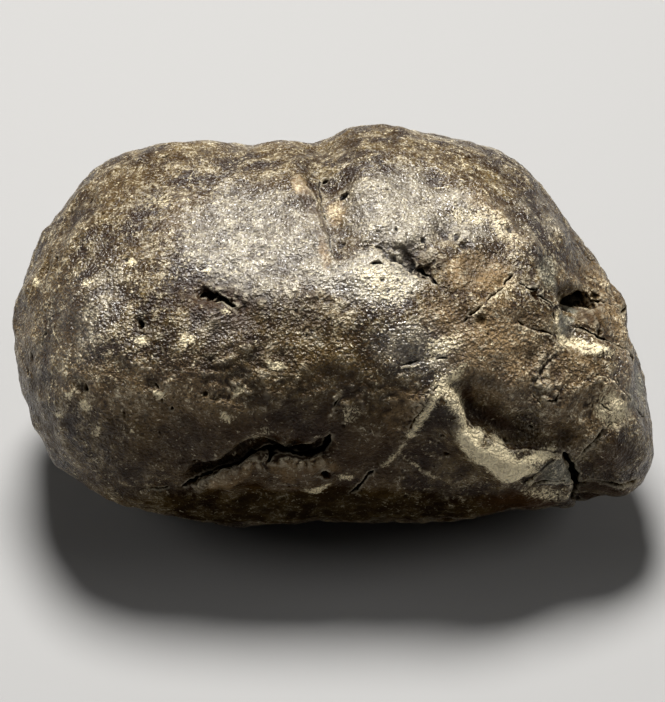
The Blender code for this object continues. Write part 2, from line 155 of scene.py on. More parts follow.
# Ridges: sheet, height and half width in mm, how pale they are worn, and line.
RIDGES = (
    # vein, its branch, and the lip of the scratch
    ("front", 0.15, 1.3, 0.95,
     ((21.8, -8), (20.1, -10.8), (18.9, -12.6), (17.6, -14.6), (16.3, -16.4), (14.9, -18.4),
      (13.4, -20.4))),
    ("front", 0.12, 0.9, 0.8, ((13.4, -20.4), (12, -22.6), (10, -24.5), (8.4, -25.6))),
    ("front", 0.12, 0.6, 0.8, ((12, -22.7), (13.3, -24), (15.1, -25.1), (16.9, -26.2), (19.4, -27.3))),
    ("front", 0.2, 0.32, 0.9, ((11.6, -7.6), (13.6, -7.2), (15.8, -6.9), (17.8, -6.3))),
    # hairlines of pale mineral
    ("front", 0.08, 0.28, 0.9,
     ((21.6, 33), (23, 31), (23.6, 29.4), (24.8, 26.9), (28.4, 23.6), (31.9, 20))),
    ("front", 0.08, 0.26, 0.9, ((17.8, 24.9), (19.4, 25.3), (22.1, 25.5), (24.5, 25.8))),
    ("front", 0.08, 0.24, 0.8, ((23.6, 30.3), (24.8, 31), (26.1, 31))),
    ("front", 0.08, 0.26, 0.9, ((-51, 0.9), (-49.9, -2), (-48.1, -4.5), (-46.3, -6.3))),
    ("front", 0.08, 0.3, 0.8, ((-50.3, -8.1), (-51, -11), (-51, -13.5), (-50.5, -16.4))),
    ("front", 0.08, 0.24, 1, ((-36.9, -4.2), (-35.5, -7))),
    # worn lip of the dish under the socket
    ("front", 0.6, 1.2, 0.9,
     ((40, 2), (40.3, -0.2), (41.6, -2.3), (43.4, -3.6), (45.6, -4.5), (47.7, -4.7), (49, -3.8))),
    # lips of the cracks and slits
    ("front", 0.1, 0.35, 0.7, ((32.6, 9.2), (30.8, 6.8), (27.9, 4.4), (26.2, 2.8))),
    ("front", 0.12, 0.4, 0.6, ((33.2, 8), (35, 6.1), (37.4, 4.4), (39.4, 2.8))),
    ("front", 0.12, 0.5, 0.75, ((-33.6, -10.9), (-32.2, -11.5), (-31, -12.7))),
    ("front", 0.12, 0.6, 0.7, ((-18.6, -12.4), (-17, -12.2), (-15.9, -11.6))),
    ("front", 0.12, 0.4, 0.8, ((46.5, -14.8), (47.6, -14.5), (48.8, -15))),
    ("front", 0.12, 0.4, 0.6, ((47, -9.9), (48.4, -9.8), (49.4, -10.6))),
    # ridge beside the crease
    ("front", 0.7, 1.5, 0.2,
     ((-5.9, 26.9), (-4.8, 24.7), (-3.5, 22), (-2.6, 18.4), (-1.2, 15.7), (0.5, 9.9))),
    # far side
    ("back", 0.25, 0.7, 0.6, ((-30, 2), (-22, -1), (-14, 2), (-8, 0))),
    ("back", 0.1, 0.3, 0.6, ((8, 20), (14, 15), (18, 6))),
    ("back", 0.1, 0.3, 0.5, ((28, -2), (33, 1), (36, 8))),
    ("left", 0.1, 0.3, 0.5, ((-10, 12), (-4, 4), (0, -4))),
    ("right", 0.2, 0.6, 0.5, ((4, 8), (8, 2), (14, -2))),
)

# Edges: sheet, height in mm, reach in mm to the left of the line as it runs and to its right, how pale they
# are, worn and partly painted light where they face up, and line. The ground is raised most at the line,
# half-way between its normal and the way to the sheet's eye, and it falls evenly to the left and in a round
# step to the right.
EDGES = (
    # outer and inner edges of the hollow's rim, and the facet at its broken end, pale from wear and painted
    # light
    ("front", 1.6, 5.5, 4.5, 0.1,
     ((21.9, -10.4), (21.9, -13.4), (22.6, -17), (24.2, -20), (26.2, -22.2), (28.4, -24.2), (30.8, -26),
      (34, -27.4))),
    ("front", 0.4, 1.2, 0.35, 0.5,
     ((41.1, -23.1), (35.6, -22.3), (32, -21.8), (29.3, -20.9), (26.6, -19.7), (24.8, -18.2),
      (23.6, -15.9))),
    ("front", 0.5, 2.5, 0.35, 0.6, ((40.4, -23.8), (38.4, -25.6), (36.2, -27.4), (34, -28.9))),
    ("front", 0.7, 2.5, 0.35, 0.3, ((34.5, -29), (37, -28.3), (40, -28.1), (43.4, -28.2))),
    # lower lip of the fissure, which stands out from under the upper one, its top painted pale as lit
    ("front", 1.3, 0.5, 4, 0.3,
     ((-26, -28.9), (-22.6, -27.4), (-19.6, -26), (-16.6, -24.8), (-13.4, -23.5), (-12.2, -23.3))),
    ("front", 1.2, 0.5, 3.5, 0.3, ((-10.4, -24), (-7.6, -23.9), (-4, -24.1), (-1.2, -22.8))),
    # plates on the snout's end
    ("front", 0.5, 3, 0.35, 0.4, ((32.9, 9.6), (31.1, 7), (28.2, 4.6), (26.6, 3), (24.2, 0.9))),
    ("front", 0.5, 2.6, 0.35, 0.3,
     ((42, -3.6), (40.4, -3), (38.8, -1.6), (36.8, -0.9), (34.4, 0), (32.4, 0.6))),
    ("front", 0.6, 2.4, 0.35, 0.3, ((37.2, -10), (37.6, -8), (38.8, -6), (40.6, -4.6))),
    ("front", 0.7, 3, 0.35, 0.4, ((53.6, -15.6), (52.6, -12.4), (51, -10.2), (48.4, -9), (46.4, -9.6))),
    ("front", 0.6, 2.6, 0.35, 0.4, ((43.6, -24.6), (45.4, -22.2), (47.6, -19.8), (50.2, -17.6))),
    # back edge of the socket
    ("front", 0.6, 2.4, 0.35, 0.3, ((39.4, 3.4), (41, 5.2), (43.6, 6.9), (46, 6.2), (47.6, 4.6))),
    # far side
    ("back", 0.6, 3.5, 0.35, 0.4, ((30, 4), (24, 7), (16, 5), (10, 8))),
    ("back", 0.5, 3, 0.35, 0.3, ((-30, -12), (-22, -16), (-14, -15))),
    ("right", 0.5, 3, 0.35, 0.4, ((-8, -4), (-2, 0), (4, -1), (10, 3))),
)

# Borings and chips: sheet, depth and radius in mm, how dark they are painted, as shade in the hole with dirt,
# and middle.
BORINGS = (
    ("front", 1.5, 1.3, 1, (-22.1, 5.6)),
    ("front", 1.2, 1, 0.9, (-20.9, 5.3)),
    ("front", 1.2, 0.8, 1, (-34.6, 0.2)),
    ("front", 1.5, 1.05, 1, (-44.5, -10.8)),
    ("front", 0.7, 0.5, 0.9, (-51.9, -1.4)),
    ("front", 0.6, 0.7, 0.8, (-30.6, 30.7)),
    ("front", 0.5, 0.4, 0.8, (-3.7, 26.7)),
    ("front", 0.8, 0.55, 0.9, (-1.4, 26.4)),
    ("front", 1.1, 0.75, 1, (1.9, 23.8)),
    ("front", 0.6, 0.4, 0.8, (4.1, 23.5)),
    ("front", 0.9, 0.5, 1, (8.2, 25.3)),
    ("front", 0.7, 0.55, 0.8, (11.5, 17.7)),
    ("front", 0.7, 0.9, 0.4, (1.9, 15.2)),
    ("front", 0.6, 0.4, 0.8, (-1.5, 19.9)),
    ("front", 0.5, 0.4, 0.7, (-0.3, 12.5)),
    ("front", 0.5, 0.4, 0.6, (-28.8, -14.6)),
    ("front", 0.6, 0.45, 0.7, (-49.5, -15)),
    ("front", 0.8, 0.55, 0.8, (35.6, -18.1)),
    ("front", 0.7, 0.6, 0.5, (19.6, -19.7)),
    ("front", 1.2, 0.75, 1, (-1.4, -26.5)),
    ("front", 0.7, 3.6, 0, (14.6, 11.6)),
    ("front", 0.5, 3.4, 0, (20.6, 16.2)),
    ("front", 0.7, 0.8, 0.8, (11.3, 12.1)),
    ("front", 0.9, 0.9, 0.8, (14.3, 11.2)),
    ("front", 0.7, 0.8, 0.6, (12.6, 11.4)),
    ("front", 0.6, 0.9, 0.5, (18.4, 11.4)),
    ("front", 0.6, 0.7, 0.7, (16.2, 15.3)),
    ("front", 0.4, 0.6, 0.5, (9.1, 8.7)),
    ("front", 1.5, 4.2, 0, (44.3, 0.8)),
    ("front", 0.8, 1.2, 0.3, (46.6, 3.6)),
    ("front", 0.6, 0.8, 0.6, (47.6, 5.6)),
    ("front", 0.6, 0.9, 0.5, (48.2, -0.6)),
    ("back", 1.2, 0.9, 1, (12, 6)),
    ("back", 1, 0.8, 0.9, (17, -16)),
    ("back", 1.1, 0.9, 1, (38, 7)),
    ("back", 1.2, 1, 0.9, (43, -8)),
    ("back", 1, 0.8, 0.9, (-9, 2)),
    ("back", 0.9, 0.7, 0.9, (-28, 12)),
    ("back", 0.8, 0.6, 0.8, (0, 18)),
    ("left", 1.1, 0.9, 0.9, (-4, 9)),
    ("left", 0.9, 0.7, 0.9, (-1, -17)),
    ("left", 0.7, 0.6, 0.8, (9, -6)),
    ("right", 1.1, 0.9, 0.9, (14, 4)),
    ("right", 0.8, 0.7, 0.8, (-2, -8)),
    ("under", 1.2, 0.9, 0.9, (-28, 14)),
    ("under", 1.1, 0.9, 0.9, (22, 16)),
    ("under", 1.1, 0.9, 0.9, (-38, -8)),
)

# Patches of colour or of broken texture: sheet, strength, half length and half width in mm, turn of the
# length in degrees up from the right, and middle.
PATCHES = {
    # worn satin grey over the tops of both lobes, and the blue-grey middle, with a painted sheen where the
    # tops face the light
    "grey": (
        ("front", 0.9, 17, 11, -8, (-14, 16)),
        ("front", 0.9, 11, 9, 0, (12, 21)),
        ("front", 0.8, 7, 6, -30, (24, 20)),
        ("front", 1, 12, 3, -30, (-5.5, 11)),
        ("front", 1.2, 9, 5.5, 0, (7.5, 8.8)),
        ("front", 0.7, 7, 5.5, -20, (15.5, -3.5)),
        ("front", 0.6, 12, 6.5, 65, (-44, 3)),
        ("front", 0.6, 6, 10, -60, (38, 20)),
        ("front", 0.5, 4, 9, 15, (55.5, -11)),
        ("front", 0.5, 5, 4, 0, (-21, 0.5)),
        ("back", 0.7, 20, 9, 0, (-20, 14)),
        ("back", 0.7, 18, 9, -10, (24, 12)),
        ("front", 0.9, 3, 1.6, -50, (43.4, -0.4)),
    ),
    # plates, snout, the lower lips of the fissure, where the tan is partly painted light on the lit ledge,
    # and warmer ground at the rear
    "tan": (
        ("front", 0.9, 9, 10, 0, (29.5, -4.5)),
        ("front", 1, 6.5, 4.2, 10, (26.5, 9.5)),
        ("front", 0.8, 5, 4, -30, (21, 2)),
        ("front", 0.6, 8, 10, 0, (43, -11)),
        ("front", 0.8, 6, 5, 60, (51, -14)),
        ("front", 0.6, 8, 3, -50, (30, 19.5)),
        ("front", 1.5, 5, 1.5, 24, (-18, -26.9)),
        ("front", 1.5, 6, 1.6, 8, (-5, -25)),
        ("front", 1, 2.6, 1.3, -60, (-5.4, 25.4)),
        ("front", 0.9, 3.4, 1.1, -70, (-1.6, 13.4)),
        ("front", 0.9, 2.4, 1.2, 55, (0.8, 21)),
        ("front", 0.6, 7, 5, -20, (47, 7)),
        ("front", 0.7, 4.5, 4, 0, (13, -15.5)),
        ("front", 0.6, 19, 8, -5, (-31, -12)),
        ("back", 0.6, 12, 8, 20, (-34, -2)),
        ("back", 0.5, 10, 7, 0, (12, -12)),
        ("right", 0.7, 14, 10, 0, (0, 0)),
        ("left", 0.4, 12, 8, 30, (2, -4)),
    ),
    # pale, freshly worn rim and dish, and spots; on the rim and the dish's lower wall, which face up to the
    # light, the pale is partly a painted highlight
    "cream": (
        ("front", 1.4, 6, 2.4, -18, (31.4, -24.2)),
        ("front", 1.2, 4.4, 1.5, -45, (28.6, -23.8)),
        ("front", 1.2, 4.5, 1.4, -52, (25, -20.2)),
        ("front", 0.9, 4.6, 1.4, -80, (22.2, -14.2)),
        ("front", 1.1, 3.6, 1.2, -3, (37.8, -23.2)),
        ("front", 0.8, 3.4, 1.8, 55, (20.6, -9.6)),
        ("front", 0.9, 3.6, 1.2, -8, (46, -3.6)),
        ("front", 0.9, 2.8, 1, -55, (42.2, -1.8)),
        ("front", 0.9, 2.4, 0.7, -80, (40.4, 1.4)),
        ("front", 0.6, 3.5, 2.2, 40, (20, -2.6)),
        ("front", 0.6, 3, 1.4, 0, (48.6, -4.2)),
        ("front", 0.8, 3.2, 3.6, 0, (51.4, -14.8)),
        ("front", 0.65, 5.5, 1.9, -50, (30.2, 18.8)),
        ("front", 0.7, 3.8, 2, 0, (24.5, 20.5)),
        ("front", 0.6, 6.5, 3.8, -15, (8.5, 8.5)),
        ("front", 0.6, 5, 1.2, 0, (38.5, -29.8)),
        ("front", 0.5, 3, 1.2, 0, (-32.3, 22.4)),
        ("front", 0.85, 1.4, 0.8, 0, (-22, 10.4)),
        ("front", 0.4, 1.4, 0.8, -60, (-5.8, 25)),
        ("front", 0.5, 2, 0.8, 50, (0.8, 21.3)),
        ("front", 0.9, 1.3, 1, 0, (-36.6, 11.4)),
        ("front", 0.98, 1.2, 0.9, 10, (-34.7, -1.8)),
        ("front", 0.9, 1.6, 1.1, 60, (-25.9, -2.7)),
        ("front", 0.98, 1.3, 0.9, 0, (-44.2, -13.8)),
        ("front", 0.9, 1.1, 0.7, 30, (-47.2, -12)),
        ("front", 0.9, 1, 0.6, 0, (-49.2, -15.7)),
        ("front", 0.9, 0.8, 0.6, 0, (-52.8, 7.8)),
        ("front", 0.9, 1.6, 0.7, 20, (-44.4, 8.2)),
        ("front", 0.82, 0.8, 0.5, 0, (-42, -18.6)),
        ("front", 0.82, 0.9, 0.5, 0, (-36, -19)),
        ("front", 0.9, 1.6, 0.7, -45, (-31.4, -12.6)),
        ("front", 0.9, 1.5, 0.9, -30, (-18.8, -15.9)),
        ("front", 0.82, 1.2, 0.7, 0, (-20.4, 2.6)),
        ("front", 0.9, 1.6, 0.7, -30, (-10.2, -7.6)),
        ("front", 0.9, 1.8, 0.7, 30, (-16.4, -11.6)),
        ("front", 0.82, 1.6, 0.7, 0, (2.6, -25.9)),
        ("front", 0.9, 2.6, 0.6, 10, (-3, -28.8)),
        ("front", 0.6, 2, 1.4, 0, (3.2, -16)),
        ("front", 0.4, 2.4, 1.2, 30, (-13, -19.4)),
        ("back", 0.7, 8, 1.6, -15, (-26, 5)),
        ("back", 0.6, 4, 2, 40, (28, 2)),
        ("back", 0.7, 1.6, 1, 0, (12, 4)),
        ("back", 0.7, 1.4, 1, 0, (-9, 0.2)),
        ("left", 0.6, 2.4, 1.2, 30, (-4, 6.4)),
        ("right", 0.6, 5, 1.6, -20, (4, -4)),
    ),
    # painted shade over plum-dark stone: the floor of the hollow, the belly and lower half, and other
    # sheltered ground
    "plum": (
        ("front", 0.8, 5.5, 2.8, -22, (29.3, -17.2)),
        ("front", 1, 1.5, 3.6, 10, (24, -13.4)),
        ("front", 0.3, 3.4, 1.4, -5, (35.6, -20.4)),
        ("front", 0.5, 2.6, 2, 0, (41.2, -19.8)),
        ("front", 0.4, 36, 4.5, 0, (-6, -33.5)),
        ("front", 0.9, 8, 2.6, 0, (34, -32)),
        ("front", 0.7, 6, 2, 0, (49.5, -29.8)),
        ("front", 0.7, 4.5, 3, 20, (50, -24)),
        ("front", 0.6, 3, 2.2, -30, (46.6, 3)),
        ("front", 0.6, 3.4, 1.5, -40, (15, 11)),
        ("front", 0.5, 5, 3, 0, (16, -24.5)),
        ("front", 0.4, 10, 4, 0, (-24, -23)),
        ("front", 0.4, 8, 5, 20, (-2, -9)),
        ("front", 0.6, 1.5, 7, 12, (-3.4, 20.5)),
        ("back", 0.5, 6, 4, 0, (-38, -10)),
        ("front", 0.6, 34, 9.5, 0, (-8, -22)),
        ("front", 0.7, 7.5, 4.2, -15, (-20, 4)),
    ),
    # painted shade, with some dirt: above the fissure under its overhang, in the bite and socket, and under
    # the belly
    "soot": (
        ("front", 0.6, 7.5, 1, 24, (-18.4, -23.6)),
        ("front", 0.8, 5.5, 0.9, -4, (-6.6, -21.4)),
        ("front", 0.25, 2.6, 1.6, -20, (14.6, 11.6)),
        ("front", 0.25, 2, 1.2, -40, (18.6, 10.2)),
        ("front", 0.5, 2.4, 0.7, -28, (-18.2, 3.9)),
        ("front", 0.55, 36, 4.2, 0, (-4, -33)),
        ("front", 1, 2.8, 1.2, 5, (43.4, 5)),
    ),
    # grey-green ground where a flake has come off
    "green": (
        ("front", 0.8, 2.2, 5, 15, (56, -12)),
        ("front", 1, 3.2, 1.9, 12, (40.6, -26)),
        ("front", 0.7, 2.6, 4, 0, (39, 10)),
        ("front", 0.9, 2.2, 3, -15, (42.2, 1.2)),
        ("front", 0.5, 3, 2.4, 0, (31, -16.6)),
        ("back", 0.5, 5, 3, 0, (30, -14)),
    ),
    # gritty ground, which takes a rougher relief
    "broken": (
        ("front", 1, 2.4, 2.6, 0, (47, 2.8)),
        ("front", 1, 6.5, 3.4, -20, (13.5, 12.4)),
        ("front", 0.7, 5, 2.4, 0, (20.5, 16.6)),
        ("front", 0.9, 3.8, 3.2, -20, (46, 3.8)),
        ("front", 0.8, 3, 5, 0, (39.4, -8)),
        ("front", 0.5, 8, 8, 0, (46, -12)),
        ("front", 0.6, 4, 5, 0, (38.5, 10)),
        ("front", 0.8, 11, 6, -15, (-14, -8)),
        ("front", 0.7, 9, 7, 0, (8, -14)),
        ("front", 0.9, 8, 3.2, -25, (-16, 6.4)),
        ("front", 0.6, 9, 4, -15, (-4, 3)),
        ("front", 0.5, 3.5, 2.4, 0, (-21, 0.6)),
        ("front", 0.6, 10, 3, 15, (-8, -24)),
        ("back", 0.7, 8, 5, 10, (-14, -7)),
        ("back", 0.7, 6, 6, 0, (20, -16)),
        ("right", 0.6, 8, 8, 0, (4, -2)),
    ),
}
TINTS = (*PATCHES, "relief")

MERGE_REACH = 0.01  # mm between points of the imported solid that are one
# Uneven relief all over: wavelength in mm, its height where the surface is worn, and where it is broken.
RELIEF = ((8.0, 0.5, 0.4), (4.2, 0.42, 0.6), (2.2, 0.24, 0.7), (1.2, 0.1, 0.4))
CRAG_STEEPNESS, CRAG_FLOOR = 1.6, 0.35  # how broken relief folds its waves into crests above a floor
RELIEF_SPAN = 1.2  # mm of relief, from its darkest dip to its palest top; the dips are painted darker, as shade
WANDER = ((5.0, 0.35), (1.8, 0.3), (0.8, 0.2))  # wavelength and reach, in mm, by which every mark strays
PATCH_EDGE = ((7.0, 1.6), (2.6, 0.9))  # the same, for the edges of patches
STRAY_SEED = 2  # not 0, which would give other shifts on each run
PATCH_RIM = 1.5  # half lengths and half widths at which a patch has died away, from full at one less
GRAZING = 0.25  # how squarely a sheet's eye has to see the ground for its patches to be full
SWELL = (2.4, 0.9)  # wavelength in mm and share by which cracks and borings widen and narrow
WIDEST_SWELL = 1.6  # mm of radius, above which a boring is even
SHORTEST_FADE = 1.6  # mm over which a line rises from nothing at each end
EDGE_FADE = 0.6  # the same for an edge, where this share of its reach to the left is longer
END_RISE = 0.15  # how far along that rise a line's very ends are
LINE_STEP = 0.6  # mm between the points of a line on the nodule, at most
CRACK_SEARCH = 2.2  # half widths, past the widest swell of a crack
CRACK_TIP = 0.35  # share of its width that a crack keeps at its ends
CRACK_RIM, DIRT_AND_SHADE_RIM = 1.1, 1.2  # half widths at which a crack's wall and its painted shade and dirt end
LEAST_DIRT_AND_SHADE, DIRT_AND_SHADE_DEPTH = 0.3, 1.2  # share of painted shade and dirt in the shallowest crack, and mm of depth that would add 1: deeper cracks are painted darker
RIDGE_FOOT = 1.2  # half widths at which a ridge has died away
BOWL, BOWL_DIRT_AND_SHADE = 1.5, 1.5  # roundness of a boring's rim, and how soon its painted shade and dirt are full inwards from the rim
# POCK_DARK is how dark the pocks are painted, as shade in them with dirt
POCK_SEED, POCK_DARK = 7, 0.5
POCK_RADIUS = (0.4, 0.7)  # mm, of the least pock, and what the largest adds
POCK_DEPTH = (0.35, 0.4)  # the same for the depth, as a share of the radius
WEAR_SMOOTHING = 2  # passes that even out the measure of edges and creases
FINE_REACH, NARROW_REACH = 1.2, 0.8  # mm from a mark in which faces are split, and again if it is narrow
MOST_TRIANGLES = 190_000  # kept of the carved mesh, most of them where it bends
FLOOR_FADE = 1.2  # mm above the floor over which the relief rises from nothing
FLAT_BELOW = 0.1  # mm above the floor, under which the resting spot is set flat

# Lights: name, place in metres from the nodule's middle, and width in metres.
LIGHTS = (
    ("key", (-0.05, 0.24, 0.75), 0.3),
    ("left", (-0.75, -0.1, 0.45), 0.4),
    ("right", (0.75, -0.1, 0.45), 0.4),
)
LIGHT_COLOUR = (1.0, 0.98, 0.95)
CARD_ROUGHNESS = 0.9
SENSOR = 36  # mm, the height of the camera's sensor
VIEW_SHIFT = -24 / 702  # of the view's height, which sets the nodule a little above its middle
MIX_A, MIX_B, MIXED = 6, 7, 2  # sockets of a colour Mix node


def linear(code):
    """A colour's sRGB hex code as linear red, green and blue."""
    values = [int(code[i : i + 2], 16) / 255 for i in (1, 3, 5)]
    return tuple(v / 12.92 if v <= 0.04045 else ((v + 0.055) / 1.055) ** 2.4 for v in values)


def colour(name, description, code):
    limits = {"size": 3, "min": 0, "max": 1}
    return FloatVectorProperty(
        name=name, description=description, default=linear(code), subtype="COLOR", **limits
    )


def length(name, description, default, least=0.0):
    return FloatProperty(
        name=name, description=description, default=default, min=least, unit="LENGTH", precision=5
    )


def share(name, description, default):
    return FloatProperty(name=name, description=description, default=default, min=0)


def count(name, description, default):
    return IntProperty(name=name, description=description, default=default, min=0)


def power(name, description, default):
    return FloatProperty(name=name, description=description, default=default, min=0, unit="POWER")


class NoduleSettings(bpy.types.PropertyGroup):
    """Sizes and colours of the nodule."""

    mesh_size: length("Mesh size", "Edge length of the mesh away from the cracks", 0.6 * MM, 0.3 * MM)
    rounding: count("Rounding", "Smoothing passes over the drawn-out form", 5)
    carving: share("Carving", "Depth of cracks and borings and height of ridges and edges, as a share", 1.0)
    relief: share("Relief", "Height of the uneven surface, as a share", 1.0)
    pocks: count("Pocks", "Small chips scattered all over", 120)
    grain: length("Grain", "Depth of the dints and grain that are too fine for the mesh", 0.8 * MM)
    # dark brown is the ground colour, and also the painted shade in creases and dips
    dark_brown: colour("Dark brown", "Phosphate in sheltered ground", "#291a0b")
    brown: colour("Brown", "Phosphate all over", "#53401f")
    olive: colour("Olive", "Paler phosphate between", "#76633c")
    # the worn grey is also a painted sheen on the tops, where they face the light
    grey: colour("Worn grey", "Tops polished by water and sand", "#9a9281")
    tan: colour("Tan", "Plates and snout", "#8b7350")
    # Cream is also the painted highlight on the rim and the dish, where they face up to the light
    cream: colour("Cream", "Freshly worn edges", "#f9eac2")
    # Plum is also the colour of the painted shade in the hollow, along the belly and low down
    plum: colour("Plum", "Floors of hollows", "#3c2815")
    green: colour("Grey-green", "Ground where a flake has come off", "#6c6b5d")
    fleck: colour("Fleck", "Pale grains", "#cdc3aa")
    # Soot is also the colour of the painted shade in cracks, borings, above the fissure and under the belly
    soot: colour("Soot", "Dirt in cracks and borings", "#0d0c0a")


class StageSettings(bpy.types.PropertyGroup):
    """The floor, the lights and the camera."""

    floor: colour("Floor", "Pale card", "#a1a1a1")
    floor_size: length("Floor size", "Side of the floor", 6.0)
    key_power: power("Key light", "Power of the soft light overhead", 12.5)
    left_power: power("Left light", "Power of the side light on the left", 0.9)
    right_power: power("Right light", "Power of the side light on the right", 1.3)
    sky: share("Surroundings", "Strength of the light from all round", 0.02)
    focal_length: FloatProperty(
        name="Focal length", description="Of the camera, on a sensor 36 mm high", default=170.5, unit="CAMERA"
    )


def select_only(piece):
    bpy.ops.object.select_all(action="DESELECT")
    piece.select_set(True)
    bpy.context.view_layer.objects.active = piece


def apply_modifier(piece, kind, **settings):
    modifier = piece.modifiers.new(kind, kind)
    for name, value in settings.items():
        setattr(modifier, name, value)
    bpy.ops.object.modifier_apply(modifier=modifier.name)


def add_node(tree, kind, settings=None, inputs=None):
    """Adds a node with its settings. An input is a value, or the output that feeds it."""
    made = tree.nodes.new(kind)
    for name, value in (settings or {}).items():
        setattr(made, name, value)
    for socket, value in (inputs or {}).items():
        if isinstance(value, bpy.types.NodeSocket):
            tree.links.new(value, made.inputs[socket])
        else:
            made.inputs[socket].default_value = value
    return made


def eased(t):
    """0 up to 1, level at both ends."""
    t = np.clip(t, 0, 1)
    return t * t * (3 - 2 * t)


def drawn_out(settings):
    """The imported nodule's form, rounded off and in a fine, even mesh, as a new piece."""
    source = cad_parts[NODE]
    piece = bpy.data.objects.new("nodule", source.data.copy())
    bpy.context.scene.collection.objects.link(piece)
    piece.data.materials.clear()
    select_only(piece)
    bpy.ops.mesh.customdata_custom_splitnormals_clear()
    bpy.ops.object.mode_set(mode="EDIT")
    bpy.ops.mesh.select_all(action="SELECT")
    bpy.ops.mesh.remove_doubles(threshold=MERGE_REACH * MM)
    bpy.ops.object.mode_set(mode="OBJECT")
    apply_modifier(piece, "SUBSURF", levels=2, render_levels=2)
    apply_modifier(piece, "REMESH", mode="VOXEL", voxel_size=settings.mesh_size, use_smooth_shade=True)
    apply_modifier(piece, "SMOOTH", iterations=settings.rounding)
    return piece


def read_points(mesh, what):
    """The place ("co") or the normal of every point of the mesh."""
    values = np.empty(len(mesh.vertices) * 3, np.float32)
    mesh.vertices.foreach_get(what, values)
    return values.reshape(-1, 3).astype(float)


def sheet_axes(sheet):
    """Right, up and ahead as the sheet's eye sees them, and the eye."""
    azimuth, elevation = (math.radians(angle) for angle in SHEETS[sheet])
    right = Vector((math.cos(azimuth), math.sin(azimuth), 0))
    ahead = Vector((-math.sin(azimuth), math.cos(azimuth), 0)) * math.cos(elevation)
    ahead.z = -math.sin(elevation)
    return right, right.cross(ahead), ahead, SHEET_MIDDLE - ahead * EYE_DISTANCE


def carrier(piece):
    """A function that carries a point of a sheet, in mm, to the nodule: its place and outward normal."""
    mesh = piece.data
    tree = BVHTree.FromPolygons([v.co for v in mesh.vertices], [p.vertices for p in mesh.polygons])

    def carried(sheet, along, up):
        right, upward, _, eye = sheet_axes(sheet)
        target = SHEET_MIDDLE + (right * along + upward * up) * MM
        place, normal, _, _ = tree.ray_cast(eye, (target - eye).normalized())
        if place is None:  # past the outline, so the nearest point of it
            place, normal, _, _ = tree.find_nearest(target)
        return np.array(place), np.array(normal)

    return carried


def carried_line(carried, sheet, points):
    """A line of a sheet on the nodule, rounded through its points: places and normals a step apart."""
    points = np.array(points)
    knots = np.concatenate([[0], np.cumsum(np.linalg.norm(np.diff(points, axis=0), axis=1))])
    steps = np.linspace(0, knots[-1], max(2, math.ceil(knots[-1] / LINE_STEP)))
    slopes = np.gradient(points, knots, axis=0)
    i = np.clip(np.searchsorted(knots, steps) - 1, 0, len(knots) - 2)
    span = (knots[i + 1] - knots[i])[:, None]
    t = (steps - knots[i])[:, None] / span
    rounded = (
        points[i] * (1 + 2 * t) * (1 - t) ** 2
        + points[i + 1] * (3 - 2 * t) * t**2
        + span * slopes[i] * t * (1 - t) ** 2
        - span * slopes[i + 1] * (1 - t) * t**2
    )
    found = [carried(sheet, *point) for point in rounded]
    return np.array([f[0] for f in found]), np.array([f[1] for f in found])


def strayed(places, waves):
    """The places, shifted a little this way and that by each (wavelength, reach) in mm."""
    noise.seed_set(STRAY_SEED)
    shifted = places.copy()
    for wavelength, reach in waves:
        moves = [noise.noise_vector(Vector(place) / (wavelength * MM)) for place in places]
        shifted += reach * MM * np.array(moves)
    return shifted


def waves_at(places, wavelength):
    """Noise of this wavelength, in mm, at each place: about -0.7 to 0.7."""
    return np.array([noise.noise(Vector(place) / (wavelength * MM)) for place in places])


